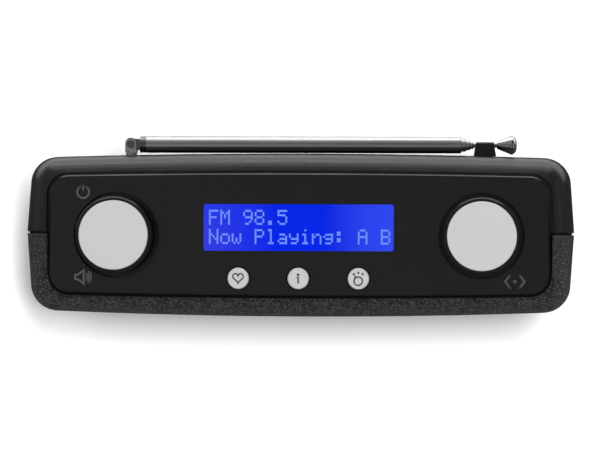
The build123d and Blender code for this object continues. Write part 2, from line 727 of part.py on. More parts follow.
with BuildPart() as battery_door:
    add(half_body(1))
    add(half_body(1, 1.8), mode=Mode.SUBTRACT)
    with BuildSketch(upright(SEAM_Y + REAR_DEPTH + 1)):
        with Locations((0, (HINGE_Z + BAY_TOP - 0.35) / 2)):
            Rectangle(2 * (BAY_HALF - 0.35), BAY_TOP - 0.35 - HINGE_Z)
    extrude(amount=8, mode=Mode.INTERSECT)
    # The rolled bottom edge, with a pin at each end for the case's cheeks
    for radius, reach in ((HINGE_RADIUS, BAY_HALF - 0.35), (0.8, BAY_HALF + 1.6)):
        with BuildSketch(Plane.YZ.offset(-reach)):
            with Locations((HINGE_Y, HINGE_Z)):
                Circle(radius)
        extrude(amount=2 * reach)
    # A thumb scoop by the latch, and the slots that let the latch spring
    with BuildSketch(upright(SEAM_Y + REAR_DEPTH + 1)):
        with Locations((0, BAY_TOP - 5.5)):
            SlotOverall(16, 5)
    extrude(amount=2.1, mode=Mode.SUBTRACT)
    with BuildSketch(upright(SEAM_Y + REAR_DEPTH + 1)):
        with Locations((-10.5, BAY_TOP - 5), (10.5, BAY_TOP - 5)):
            Rectangle(0.8, 10)
    extrude(amount=6, mode=Mode.SUBTRACT)
keep(battery_door, "battery_door")


# ---------------------------------------------------------------- main board, sockets, leads

with BuildPart() as main_board:
    with BuildSketch(upright(MAIN_Y + BOARD_THICK)):
        with Locations((0, 65)):
            RectangleRounded(134, 34, 2)
        with Locations(*MAIN_SCREWS):
            Circle(1.3, mode=Mode.SUBTRACT)
        with Locations((PHONES_X, SOCKET_Z)):
            Rectangle(8.4, 8.4, mode=Mode.SUBTRACT)
        with Locations((POWER_X, SOCKET_Z)):
            Rectangle(10.4, 10.4, mode=Mode.SUBTRACT)
    extrude(amount=BOARD_THICK)
keep(main_board, "main_board")

with BuildPart() as tuner_can:
    with BuildSketch(upright(MAIN_Y + BOARD_THICK + 3.2)):
        with Locations((-30, 66)):
            RectangleRounded(36, 26, 0.8)
    extrude(amount=3.2)
    fillet(tuner_can.faces().sort_by(Axis.Y)[-1].edges(), 0.4)
keep(tuner_can, "tuner_can")

with BuildPart() as board_components:
    # Reservoir capacitors, the amplifier chip and the leads' sockets
    with BuildSketch(upright(MAIN_Y + BOARD_THICK + 5.2)):
        with Locations((10, 72), (10, 58), (22, 74)):
            Circle(3.1)
    extrude(amount=5.2)
    with BuildSketch(upright(MAIN_Y + BOARD_THICK + 1.6)):
        with Locations((22, 62)):
            Rectangle(7.5, 7.5)
    extrude(amount=1.6)
    with BuildSketch(upright(MAIN_Y)):
        with Locations((30, 54), (-54, 74)):
            Rectangle(7.5, 4.5)
        with Locations((0, 77)):
            Rectangle(24, 4.0)
    extrude(amount=4.0)
keep(board_components, "board_components")

with BuildPart() as headphone_socket:
    with BuildSketch(upright(SOCKET_FACE)):
        with Locations((PHONES_X, SOCKET_Z)):
            Rectangle(8.2, 8.2)
    extrude(amount=12.2)
    with BuildSketch(upright(MOUTH_Y)):
        with Locations((PHONES_X, SOCKET_Z)):
            Circle(3.2)
    extrude(amount=MOUTH_Y - SOCKET_FACE)
    with BuildSketch(upright(MOUTH_Y)):
        with Locations((PHONES_X, SOCKET_Z)):
            Circle(1.8)
    extrude(amount=14.0, mode=Mode.SUBTRACT)
keep(headphone_socket, "headphone_socket")

with BuildPart() as power_socket:
    with BuildSketch(upright(SOCKET_FACE)):
        with Locations((POWER_X, SOCKET_Z)):
            Rectangle(10.2, 10.2)
    extrude(amount=11.0)
    with BuildSketch(upright(MOUTH_Y)):
        with Locations((POWER_X, SOCKET_Z)):
            Circle(4.2)
    extrude(amount=MOUTH_Y - SOCKET_FACE)
    with BuildSketch(upright(MOUTH_Y)):
        with Locations((POWER_X, SOCKET_Z)):
            Circle(2.9)
            Circle(1.0, mode=Mode.SUBTRACT)
    extrude(amount=9.5, mode=Mode.SUBTRACT)
keep(power_socket, "power_socket")

with BuildPart() as board_screws:
    for plane, places in ((upright(MAIN_Y), MAIN_SCREWS), (CONTROL_UNDER, PANEL_SCREWS)):
        with BuildSketch(plane.offset(1.6)):
            with Locations(*places):
                Circle(2.2)
        extrude(amount=-1.6)
        with BuildSketch(plane):
            with Locations(*places):
                Circle(1.1)
        extrude(amount=-6.0)
keep(board_screws, "board_screws")

with BuildPart() as case_screws:
    with BuildSketch(upright(SEAM_Y + BOSS_FACE + 2.2)):
        with Locations(*CASE_SCREWS):
            Circle(2.8)
            with Locations((0, 0)):
                RectangleRounded(3.2, 0.9, 0.2, mode=Mode.SUBTRACT)
                RectangleRounded(0.9, 3.2, 0.2, mode=Mode.SUBTRACT)
    extrude(amount=1.2)
    with BuildSketch(upright(SEAM_Y + BOSS_FACE + 1.0)):
        with Locations(*CASE_SCREWS):
            Circle(2.8)
    extrude(amount=1.0)
    with BuildSketch(upright(SEAM_Y + BOSS_FACE)):
        with Locations(*CASE_SCREWS):
            Circle(1.5)
    extrude(amount=BOSS_FACE + 14.0)
keep(case_screws, "case_screws")

with BuildPart() as internal_leads:
    # The pair from the loudspeaker to the main board
    for apart in (-1.0, 1.0):
        add(
            lead(
                [
                    (33.5, SPEAKER_Y + 4.5, 58 + apart), (36.5, -8, 58 + apart),
                    (36.5, 3.0, 56 + apart), (30 + apart, 3.0, 54), (30 + apart, MAIN_Y - 4.1, 54),
                ],
                0.6,
                2.0,
            )
        )
    # The aerial's lead, from a ring tag that is trapped under the post's washer
    add(
        lead(
            [
                (PIVOT_X, INNER_WALL - 0.3, 86.4), (PIVOT_X, 10, 86.4), (PIVOT_X, 4, 82),
                (-54, 3, 74), (-54, MAIN_Y - 4.1, 74),
            ],
            0.6,
            1.6,
        )
    )
    with BuildSketch(upright(INNER_WALL - 0.12)):
        with Locations((PIVOT_X, AERIAL_Z)):
            Circle(4.2)
            with Locations((0, -5.5)):
                Rectangle(2.4, 5.0)
            Circle(2.6, mode=Mode.SUBTRACT)
    extrude(amount=0.4)
keep(internal_leads, "internal_leads")

with BuildPart() as ribbon_cable:
    # From the control board's underside down to the main board's front
    with BuildSketch(Plane.YZ.offset(-10)):
        with BuildLine():
            FilletPolyline(
                (2.0, BOARD_TOP - BOARD_THICK - 0.5), (2.0, 77.4), (MAIN_Y - 4.5, 77.4), radius=3
            )
            offset(amount=0.4, side=Side.BOTH)
        make_face()
    extrude(amount=20)
keep(ribbon_cable, "ribbon_cable")


# ---------------------------------------------------------------- aerial

HEAD_RADIUS = 1.75  # of the fork's round end, seen from above
HEAD_HALF = 2.45  # half the fork's height
HEAD_BACK = 0.35  # the round end's centre, past the pivot
CHEEK_INNER = 1.05
AERIAL_AXIS = Axis((0, AERIAL_Y, AERIAL_Z), (1, 0, 0))
FERRULE_START = PIVOT_X + 2.8
FERRULE_END = PIVOT_X + 4.8
FERRULE_RADIUS = 2.6
SPIGOT_RADIUS = 2.3  # the spigot holds the first tube from inside
GROOVE_BOTTOM = 2.4


def barrel(points):
    """A round piece of the aerial, from its section's corners as (x, radius)."""
    with BuildPart() as made:
        with BuildSketch(Plane.XY.offset(AERIAL_Z)):
            with BuildLine():
                Polyline(*[(x, AERIAL_Y + radius) for x, radius in points], close=True)
            make_face()
        revolve(axis=AERIAL_AXIS)
    return made.part


with BuildPart() as aerial_post:
    with BuildSketch(upright(AERIAL_Y)):
        with Locations((PIVOT_X, AERIAL_Z)):
            Circle(POST_RADIUS)
    extrude(amount=AERIAL_Y - INNER_WALL + 0.6)
    with BuildSketch(Plane.XY.offset(AERIAL_Z - HEAD_HALF)):
        with Locations((PIVOT_X, AERIAL_Y + HEAD_BACK)):
            Circle(HEAD_RADIUS)
            with Locations((0, -1.5)):
                Rectangle(2 * HEAD_RADIUS, 3.0)
    extrude(amount=2 * HEAD_HALF)
    # The slot for the tongue, and the hole for its rivet
    with BuildSketch(Plane.XY.offset(AERIAL_Z - CHEEK_INNER)):
        with Locations((PIVOT_X, AERIAL_Y + 2.0)):
            Rectangle(8, 9.6)
    extrude(amount=2 * CHEEK_INNER, mode=Mode.SUBTRACT)
    with BuildSketch(Plane.XY.offset(AERIAL_Z - 4)):
        with Locations((PIVOT_X, AERIAL_Y)):
            Circle(0.8 + FIT)
    extrude(amount=8, mode=Mode.SUBTRACT)
    # The screw's hole in its inner end
    with BuildSketch(upright(AERIAL_Y - 4)):
        with Locations((PIVOT_X, AERIAL_Z)):
            Circle(1.2)
    extrude(amount=10, mode=Mode.SUBTRACT)
keep(aerial_post, "aerial_post")

with BuildPart() as aerial_rivet:
    with BuildSketch(Plane.XY.offset(AERIAL_Z - HEAD_HALF - 0.35)):
        with Locations((PIVOT_X, AERIAL_Y)):
            Circle(0.8)
    extrude(amount=2 * HEAD_HALF + 0.7)
    for z in (AERIAL_Z - HEAD_HALF - 0.35, AERIAL_Z + HEAD_HALF):
        with BuildSketch(Plane.XY.offset(z)):
            with Locations((PIVOT_X, AERIAL_Y)):
                Circle(1.25)
        extrude(amount=0.35)
keep(aerial_rivet, "aerial_rivet")

with BuildPart() as aerial_post_screw:
    # A screw and its washer, which hold the post in the rear wall and turn with it
    with BuildSketch(upright(INNER_WALL - 0.6)):
        with Locations((PIVOT_X, AERIAL_Z)):
            Circle(4.0)
    extrude(amount=0.6)
    with BuildSketch(upright(INNER_WALL - 1.2)):
        with Locations((PIVOT_X, AERIAL_Z)):
            Circle(2.2)
    extrude(amount=1.5)
    with BuildSketch(upright(AERIAL_Y - 5)):
        with Locations((PIVOT_X, AERIAL_Z)):
            Circle(1.2 - FIT)
    extrude(amount=AERIAL_Y - 5 - INNER_WALL + 0.6)
keep(aerial_post_screw, "aerial_post_screw")

with BuildPart() as aerial_knuckle:
    # The tongue between the post's cheeks, and the ferrule that holds the first tube
    with BuildSketch(Plane.XY.offset(AERIAL_Z - CHEEK_INNER + 0.1)):
        with Locations((PIVOT_X, AERIAL_Y)):
            Circle(HEAD_RADIUS)
        with Locations(((PIVOT_X + FERRULE_START) / 2 + 0.3, AERIAL_Y)):
            Rectangle(FERRULE_START - PIVOT_X + 0.6, 2 * HEAD_RADIUS)
        with Locations((PIVOT_X, AERIAL_Y)):
            Circle(0.8 + 0.05, mode=Mode.SUBTRACT)
    extrude(amount=2 * CHEEK_INNER - 0.2)
    add(
        barrel(
            [
                (FERRULE_START, 0), (FERRULE_START, FERRULE_RADIUS),
                (FERRULE_END, FERRULE_RADIUS), (FERRULE_END, 0),
            ]
        )
    )
    for groove in (0.75, 1.35):
        add(
            barrel(
                [
                    (FERRULE_START + groove, GROOVE_BOTTOM), (FERRULE_START + groove, 3.0),
                    (FERRULE_START + groove + 0.25, 3.0), (FERRULE_START + groove + 0.25, GROOVE_BOTTOM),
                ]
            ),
            mode=Mode.SUBTRACT,
        )
    add(
        barrel(
            [
                (FERRULE_END, 0), (FERRULE_END, SPIGOT_RADIUS),
                (FERRULE_END + 4, SPIGOT_RADIUS), (FERRULE_END + 4, 0),
            ]
        )
    )
keep(aerial_knuckle, "aerial_knuckle")

SECTIONS = [(5.2, 50.4), (4.1, 51.9), (3.2, 53.2), (2.4, 54.2)]  # diameter, end when pushed in
TUBE_WALL = 0.25
ROD_RADIUS = 0.8
NEXT_RADII = [diameter / 2 for diameter, end in SECTIONS[1:]] + [ROD_RADIUS]
for index, (diameter, end) in enumerate(SECTIONS):
    radius = diameter / 2
    bore = radius - TUBE_WALL
    start = FERRULE_END if index == 0 else FERRULE_END + 4.6 + 0.4 * index
    if index == 0:
        section = [(start, bore)]
    else:
        # The inner end is swelled, so that it rubs inside the tube before
        swell = SECTIONS[index - 1][0] / 2 - TUBE_WALL - 0.05
        section = [(start, bore), (start, swell), (start + 4, swell), (start + 4.3, radius)]
    if index == 0:
        section.append((start, radius))
    # Its mouth is rolled in, which stops the next piece's swelled end
    mouth = NEXT_RADII[index] + 0.04
    section += [(end - 0.3, radius), (end, radius - 0.15), (end, mouth)]
    section += [(end - 0.9, mouth), (end - 1.1, bore)]
    with BuildPart() as tube:
        add(barrel(section))
    keep(tube, f"aerial_tube_{index + 1}")

ROD_START = FERRULE_END + 4.6 + 0.4 * 4
TIP_START, TIP_END = 61.6, 67.7
TIP_EDGE = TIP_END - 1.6  # where it is widest
with BuildPart() as aerial_rod:
    swell = SECTIONS[-1][0] / 2 - TUBE_WALL - 0.05
    add(
        barrel(
            [
                (ROD_START, 0), (ROD_START, swell), (ROD_START + 4, swell), (ROD_START + 4.3, ROD_RADIUS),
                (TIP_START + 1, ROD_RADIUS), (TIP_START + 1, 0),
            ]
        )
    )
keep(aerial_rod, "aerial_rod")

with BuildPart() as aerial_tip:
    # A cone with a domed end, bored for the rod
    with BuildSketch(Plane((0, AERIAL_Y, AERIAL_Z))):
        with BuildLine():
            Polyline(
                (TIP_END, 0), (TIP_START + 1, 0), (TIP_START + 1, ROD_RADIUS + FIT),
                (TIP_START, ROD_RADIUS + FIT), (TIP_START, 1.15), (TIP_EDGE, TIP_RADIUS),
            )
            ThreePointArc((TIP_EDGE, TIP_RADIUS), (TIP_END - 0.6, TIP_RADIUS - 0.6), (TIP_END, 1.0))
            Line((TIP_END, 1.0), (TIP_END, 0))
        make_face()
    revolve(axis=AERIAL_AXIS)
keep(aerial_tip, "aerial_tip")

CLIP_WALL = SEAM_Y + 24.1  # the rear wall's outside at the clip
CLIP_OUTER = SEAM_Y + 28.4
with BuildPart() as aerial_clip:
    with BuildSketch(Plane.XY.offset(AERIAL_Z - 2.6)):
        with BuildLine():
            Polyline(
                (CLIP_X - 3.5, CLIP_WALL),
                (CLIP_X + 3.5, CLIP_WALL),
                (CLIP_X + 2.8, CLIP_OUTER),
                (CLIP_X - 2.8, CLIP_OUTER),
                close=True,
            )
        make_face()
    extrude(amount=5.2)
    chamfer(aerial_clip.edges().filter_by(Axis.X).sort_by(Axis.Y)[-2:], 0.5)
    with BuildSketch(Plane.YZ.offset(CLIP_X - 5)):
        with Locations((AERIAL_Y, AERIAL_Z)):
            Circle(ROD_RADIUS + 0.12)
        with Locations((AERIAL_Y + 2, AERIAL_Z)):
            Rectangle(4, 2 * ROD_RADIUS + 0.24)
    extrude(amount=10, mode=Mode.SUBTRACT)
    # The plug that holds it in the rear wall
    with BuildSketch(upright(CLIP_WALL)):
        with Locations((CLIP_X, AERIAL_Z)):
            Rectangle(4.16, 3.56)
    extrude(amount=3.4)
    with BuildSketch(upright(CLIP_WALL - WALL - 0.2)):
        with Locations((CLIP_X, AERIAL_Z)):
            Rectangle(5.6, 3.56)
    extrude(amount=1.0)
keep(aerial_clip, "aerial_clip")


# ---------------------------------------------------------------- feet

with BuildPart() as feet:
    with BuildSketch(Plane.XY):
        with Locations(*FEET):
            Circle(5.0)
    extrude(amount=3.6)
    chamfer(feet.faces().group_by(Axis.Z)[0].edges(), 0.5)
keep(feet, "feet")
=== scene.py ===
import json
import math

import bmesh
import bpy
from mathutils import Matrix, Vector


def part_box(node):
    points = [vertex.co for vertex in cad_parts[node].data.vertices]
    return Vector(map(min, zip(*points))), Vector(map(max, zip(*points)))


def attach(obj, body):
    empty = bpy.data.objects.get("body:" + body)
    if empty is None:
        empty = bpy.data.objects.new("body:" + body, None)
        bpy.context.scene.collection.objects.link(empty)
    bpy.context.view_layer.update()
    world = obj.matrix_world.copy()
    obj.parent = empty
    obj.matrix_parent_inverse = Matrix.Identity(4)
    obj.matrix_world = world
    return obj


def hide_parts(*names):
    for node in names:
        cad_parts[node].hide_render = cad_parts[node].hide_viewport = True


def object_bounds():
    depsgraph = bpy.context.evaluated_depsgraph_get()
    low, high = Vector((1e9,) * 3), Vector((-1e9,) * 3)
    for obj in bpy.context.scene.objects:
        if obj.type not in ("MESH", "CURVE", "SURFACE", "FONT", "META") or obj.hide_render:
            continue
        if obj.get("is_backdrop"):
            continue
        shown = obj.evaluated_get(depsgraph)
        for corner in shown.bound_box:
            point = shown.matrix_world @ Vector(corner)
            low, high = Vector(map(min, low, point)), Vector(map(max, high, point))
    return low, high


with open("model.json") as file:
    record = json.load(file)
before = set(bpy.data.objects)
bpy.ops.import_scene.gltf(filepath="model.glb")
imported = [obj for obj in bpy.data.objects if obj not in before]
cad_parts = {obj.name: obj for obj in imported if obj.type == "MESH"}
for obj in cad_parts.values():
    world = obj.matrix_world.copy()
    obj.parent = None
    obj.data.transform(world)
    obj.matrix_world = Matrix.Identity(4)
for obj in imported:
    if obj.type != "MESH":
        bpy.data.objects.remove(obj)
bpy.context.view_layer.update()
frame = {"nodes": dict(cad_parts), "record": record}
nodes = frame["nodes"]
MM = 0.001

# ---------------------------------------------------------------- the frame's own facts, in mm

SEAM = -2.1  # the plane where the front and rear shells meet
FRONT = 26.3  # the front half's depth at its middle
SIDE_SLOPE = math.tan(math.radians(4.0))
TOP_SLOPE = math.tan(math.radians(1.5))
HALF_WIDTH = 85.65
HALF_HEIGHT = 52.0
MIDDLE = 54.0  # the height of the case's middle
CORNER = 10.0  # the outline's corner radius
ROUND = 8.5  # the radius of the front's rounded edge
FRONT_CROWN = 1.9
REAR = 24.65  # the rear half's depth at its middle
REAR_CROWN = 1.5
CROWN_RADIUS = (HALF_WIDTH**2 + FRONT_CROWN**2) / (2 * FRONT_CROWN)


def box_mm(node):
    low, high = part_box(node)
    return [c / MM for c in low], [c / MM for c in high]


PANEL_TOP = box_mm("top_panel")[1][2]
BUTTON_SHADE_LINE = PANEL_TOP + 0.25  # the keys are silver above this; below it their sides are painted black as shade in the gap around them

# ---------------------------------------------------------------- camera

# High above the panel, a little to the right of the middle and in front of the seam
FRAME_WIDTH = 0.186  # what the picture takes in across the panel, in metres
EYE = Vector((0.0459, (SEAM - 1.7) * MM, PANEL_TOP * MM + 0.95))
AIM = Vector((0.0005, (SEAM + 2.45) * MM, PANEL_TOP * MM))
ROLL = 0.0037

bpy.ops.object.camera_add(location=EYE)
camera = bpy.context.object
sight = AIM - EYE
level = sight.normalized()
camera.rotation_euler = (math.asin(level.y), math.atan2(-sight.x, -sight.z), ROLL)
camera.data.sensor_width = 36.0
camera.data.lens = camera.data.sensor_width * sight.length / FRAME_WIDTH
camera.data.clip_start = 0.05
camera.data.clip_end = 60.0
bpy.context.scene.camera = camera

# ---------------------------------------------------------------- node helpers


class Tree:
    """A material's node tree, written with few words."""

    def __init__(self, name):
        self.mat = bpy.data.materials.new(name)
        self.mat.use_nodes = True
        self.tree = self.mat.node_tree
        self.shader = self.tree.nodes["Principled BSDF"]
        self.output = self.tree.nodes["Material Output"]

    def node(self, kind, **settings):
        n = self.tree.nodes.new(kind)
        for key, value in settings.items():
            setattr(n, key, value)
        return n

    def link(self, a, b):
        self.tree.links.new(a, b)

    def put(self, value, socket):
        if isinstance(value, bpy.types.NodeSocket):
            self.link(value, socket)
        else:
            socket.default_value = value

    def math(self, operation, a, b=0.0):
        n = self.node("ShaderNodeMath", operation=operation)
        for value, socket in zip((a, b), n.inputs):
            self.put(value, socket)
        return n.outputs[0]

    def mix(self, factor, a, b):
        n = self.node("ShaderNodeMix", data_type="RGBA")
        self.put(factor, n.inputs["Factor"])
        self.put(a, n.inputs[6])
        self.put(b, n.inputs[7])
        return n.outputs[2]

    def spread(self, value, low, high, to_low, to_high):
        n = self.node("ShaderNodeMapRange")
        for v, socket in zip((value, low, high, to_low, to_high), n.inputs):
            self.put(v, socket)
        return n.outputs[0]

    def place(self):
        return self.node("ShaderNodeTexCoord").outputs["Object"]

    def noise(self, scale, detail, at=None):
        n = self.node("ShaderNodeTexNoise")
        n.inputs["Scale"].default_value = scale
        n.inputs["Detail"].default_value = detail
        n.inputs["Roughness"].default_value = 0.55
        self.link(at or self.place(), n.inputs["Vector"])
        return n.outputs["Fac"]

    def flat_noise(self, scale, detail, at):
        """Noise over a flat layout. Gives the whole node."""
        n = self.node("ShaderNodeTexNoise", noise_dimensions="2D")
        n.inputs["Scale"].default_value = scale
        n.inputs["Detail"].default_value = detail
        self.link(at, n.inputs["Vector"])
        return n

    def bump(self, height, strength, distance, under=None):
        n = self.node("ShaderNodeBump")
        n.inputs["Strength"].default_value = strength
        n.inputs["Distance"].default_value = distance
        self.put(height, n.inputs["Height"])
        if under is not None:
            self.link(under, n.inputs["Normal"])
        return n.outputs["Normal"]

    def set(self, **values):
        for key, value in values.items():
            self.put(value, self.shader.inputs[key.replace("_", " ")])


def moulded(name, colour, rough, grain=0.25, lift=0.02, wear=0.12, **extra):
    """Moulded plastic: a fine spark-eroded skin, a little mottling in colour and gloss.

    Grain is the skin's scale and lift its depth, in mm; wear is how far the colour varies.
    """
    t = Tree(name)
    fine = t.noise(1.0 / (grain * MM), 2.0)
    broad = t.noise(60.0, 4.0)
    dark = (*[c * (1 - wear) for c in colour], 1)
    light = (*[c * (1 + wear) for c in colour], 1)
    t.set(
        Base_Color=t.mix(broad, dark, light),
        Roughness=t.spread(broad, 0.3, 0.7, rough - 0.05, rough + 0.05),
        Normal=t.bump(fine, 0.35, lift * MM),
        **extra,
    )
    return t.mat


def polished(name, colour, rough, streak=(1.0, 1.0, 1.0), ripple=0.0):
    """Polished or plated metal, with faint drawing marks that run where streak is small.

    Ripple is how deep, in mm, the soft unevenness of a casting is under the plating.
    """
    t = Tree(name)
    stretch = t.node("ShaderNodeMapping")
    stretch.inputs["Scale"].default_value = streak
    t.link(t.place(), stretch.inputs["Vector"])
    marks = t.noise(3000.0, 2.0, at=stretch.outputs[0])
    smudge = t.noise(90.0, 4.0)
    uneven = t.bump(t.noise(900.0, 2.0), 1.0, ripple * MM)
    t.set(
        Base_Color=t.mix(smudge, (*[c * 0.94 for c in colour], 1), (*colour, 1)),
        Metallic=1.0,
        Roughness=t.spread(smudge, 0.3, 0.75, rough * 0.8, rough * 1.3),
        Normal=t.bump(marks, 0.1, 0.004 * MM, under=uneven),
    )
    return t.mat


def woven():
    """Plain-woven charcoal melange: a lighter yarn crosses a darker one, with painted shade in the weave's
    hollows.
    """
    t = Tree("woven_cloth")
    pitch = 0.56  # from yarn to yarn, in mm
    uv = t.node("ShaderNodeUVMap", uv_map="unrolled").outputs[0]
    # The yarns wander a little from their straight lines
    wander = t.flat_noise(0.8, 2.0, uv)
    pull = t.node("ShaderNodeVectorMath", operation="MULTIPLY_ADD")
    t.link(wander.outputs["Color"], pull.inputs[0])
    pull.inputs[1].default_value = (0.55, 0.55, 0.0)
    t.link(uv, pull.inputs[2])
    split = t.node("ShaderNodeSeparateXYZ")
    t.link(pull.outputs[0], split.inputs[0])
    across = t.math("DIVIDE", split.outputs["X"], pitch)
    along = t.math("DIVIDE", split.outputs["Y"], pitch)
    column, row = t.math("FLOOR", across), t.math("FLOOR", along)
    fx = t.math("SUBTRACT", t.math("FRACT", across), 0.5)
    fy = t.math("SUBTRACT", t.math("FRACT", along), 0.5)
    over = t.math("FLOORED_MODULO", t.math("ADD", column, row), 2.0)

    def hump(a, b):
        # A yarn bulges across its width and dips where it goes under at each end
        off_centre = t.math("POWER", t.math("MULTIPLY", a, 2.0), 2.0)
        width = t.math("SQRT", t.math("MAXIMUM", t.math("SUBTRACT", 1.0, off_centre), 0.0))
        arch = t.math("COSINE", t.math("MULTIPLY", b, 2.6))
        return t.math("MULTIPLY", width, arch)

    warp, weft = hump(fx, fy), hump(fy, fx)
    under = t.math("SUBTRACT", 1.0, over)
    height = t.math("ADD", t.math("MULTIPLY", over, warp), t.math("MULTIPLY", under, weft))
    # Fibres, finer than the yarns
    fibres = t.flat_noise(7.0, 4.0, uv)
    cell = t.node("ShaderNodeCombineXYZ")
    t.link(column, cell.inputs[0])
    t.link(row, cell.inputs[1])
    chance = t.node("ShaderNodeTexWhiteNoise", noise_dimensions="2D")
    t.link(cell.outputs[0], chance.inputs["Vector"])
    # Long slow changes of shade along the yarns, as melange has
    slub = t.flat_noise(0.25, 3.0, uv)
    light = t.mix(chance.outputs["Value"], (0.006, 0.006, 0.0062, 1), (0.075, 0.075, 0.076, 1))
    dark = t.mix(chance.outputs["Value"], (0.003, 0.003, 0.0031, 1), (0.022, 0.022, 0.0224, 1))
    yarn = t.mix(over, dark, light)
    # Painted shade: each yarn darkens towards its edges and where it dips under, in the weave's hollows;
    # the slubs and fibres add real changes of tone.
    painted_hollow_shade = t.spread(height, 0.0, 0.8, 0.22, 1.0)
    shade = t.math("MULTIPLY", painted_hollow_shade, t.spread(slub.outputs["Fac"], 0.3, 0.7, 0.8, 1.2))
    shade = t.math("MULTIPLY", shade, t.spread(fibres.outputs["Fac"], 0.3, 0.7, 0.75, 1.25))
    tint = t.node("ShaderNodeVectorMath", operation="SCALE")
    t.link(yarn, tint.inputs[0])
    t.link(shade, tint.inputs["Scale"])
    relief = t.math("ADD", height, t.math("MULTIPLY", fibres.outputs["Fac"], 0.25))
    t.set(
        Base_Color=tint.outputs[0],
        Roughness=0.92,
        Sheen_Weight=0.06,
        Sheen_Roughness=0.5,
        Specular_IOR_Level=0.25,
        Normal=t.bump(relief, 0.9, 0.3 * MM),
    )
    return t.mat


def lit_display():
    """The display's lit field: deep blue, paler and more violet towards its ends, with a painted
    reflection that brightens its right end.
    """
    t = Tree("lit_display")
    split = t.node("ShaderNodeSeparateXYZ")
    t.link(t.place(), split.inputs[0])
    side = t.math("ABSOLUTE", t.math("DIVIDE", split.outputs["X"], 0.0295))
    ends = t.spread(side, 0.25, 1.0, 0.0, 1.0)
    cloud = t.noise(45.0, 1.0)
    # Painted reflection: the field is brighter towards its right end, where the window mirrors the
    # overhead light.
    right = t.spread(split.outputs["X"], -0.01, 0.01, 0.0, 1.0)
    far = t.mix(right, (0.042, 0.05, 0.72, 1), (0.04, 0.08, 0.86, 1))
    field = t.mix(ends, (0.0, 0.017, 0.76, 1), far)
    field = t.mix(t.spread(cloud, 0.35, 0.65, 0.0, 0.35), field, (0.0, 0.03, 0.95, 1))
    t.set(
        Base_Color=(0.001, 0.002, 0.02, 1),
        Roughness=0.5,
        Specular_IOR_Level=0.05,
        Emission_Color=field,
        Emission_Strength=1.0,
        Normal=t.bump(t.noise(9000.0, 1.0), 0.05, 0.01 * MM),
    )
    return t.mat


def lit_dots():
    t = Tree("lit_dots")
    t.set(
        Base_Color=(0.002, 0.005, 0.02, 1),
        Roughness=0.5,
        Specular_IOR_Level=0.05,
        Emission_Color=t.mix(t.noise(70.0, 1.0), (0.16, 0.30, 0.95, 1), (0.22, 0.36, 1.0, 1)),
        Emission_Strength=1.0,
    )
    return t.mat


def speckled_silver(name, colour, speck, shade_line):
    """Silver paint with a fine metallic speckle, turned near-black below a height in mm as painted shade
    in the gap around a key.
    """
    t = Tree(name)
    grain = t.noise(1.0 / (speck * MM), 2.0)
    broad = t.noise(120.0, 2.0)
    split = t.node("ShaderNodeSeparateXYZ")
    t.link(t.place(), split.inputs[0])
    # Painted shade: below the given height the paint turns near-black, for the shade in the gap around a
    # key.
    painted = t.spread(split.outputs["Z"], (shade_line - 0.05) * MM, shade_line * MM, 0.0, 1.0)
    dark = (*[c * 0.86 for c in colour], 1)
    light = (*[min(1.0, c * 1.1) for c in colour], 1)
    paint = t.mix(grain, dark, light)
    t.set(
        Base_Color=t.mix(painted, (0.004, 0.004, 0.004, 1), paint),
        Metallic=t.math("MULTIPLY", painted, 0.35),
        Roughness=t.spread(broad, 0.3, 0.7, 0.42, 0.5),
        Normal=t.bump(grain, 0.2, 0.01 * MM),
    )
    return t.mat


def spun(name, colour, centre):
    """A metal disc turned on a lathe: faint rings about its own centre, given in mm."""
    t = Tree(name)
    away = t.node("ShaderNodeVectorMath", operation="DISTANCE")
    flat = t.node("ShaderNodeVectorMath", operation="MULTIPLY")
    t.link(t.place(), flat.inputs[0])
    flat.inputs[1].default_value = (1.0, 1.0, 0.0)
    t.link(flat.outputs[0], away.inputs[0])
    away.inputs[1].default_value = (centre[0] * MM, centre[1] * MM, 0.0)
    rings = t.node("ShaderNodeTexNoise", noise_dimensions="1D")
    rings.inputs["Scale"].default_value = 9000.0
    rings.inputs["Detail"].default_value = 3.0
    t.link(away.outputs["Value"], rings.inputs["W"])
    broad = t.noise(80.0, 2.0)
    t.set(
        Base_Color=t.mix(rings.outputs["Fac"], (*[c * 0.95 for c in colour], 1), (*colour, 1)),
        Metallic=0.25,
        Roughness=t.spread(broad, 0.3, 0.7, 0.4, 0.46),
        Normal=t.bump(rings.outputs["Fac"], 0.12, 0.006 * MM),
    )
    return t.mat


def clear_window():
    t = Tree("clear_window")
    t.set(
        Base_Color=(0.93, 0.95, 1.0, 1),
        Roughness=t.spread(t.noise(60.0, 2.0), 0.3, 0.7, 0.0, 0.01),
        IOR=1.12,
        Transmission_Weight=1.0,
    )
    return t.mat


def dress(node, material):
    """Gives a CAD node a material in place of its plain one."""
    obj = nodes[node]
    if not obj.material_slots:
        obj.data.materials.append(None)
    for entry in obj.material_slots:
        entry.link = "OBJECT"
        entry.material = material


# ---------------------------------------------------------------- mesh helpers


def piece(name, verts, faces, material, body="case", smooth=35.0):
    """A mesh piece from points in mm."""
    mesh = bpy.data.meshes.new(name)
    mesh.from_pydata([[c * MM for c in v] for v in verts], [], faces)
    mesh.validate()
    bm = bmesh.new()
    bm.from_mesh(mesh)
    bmesh.ops.recalc_face_normals(bm, faces=bm.faces)
    bm.to_mesh(mesh)
    bm.free()
    mesh.materials.append(material)
    if smooth:
        mesh.shade_smooth()
        mesh.set_sharp_from_angle(angle=math.radians(smooth))
    obj = bpy.data.objects.new(name, mesh)
    bpy.context.scene.collection.objects.link(obj)
    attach(obj, body)
    return obj


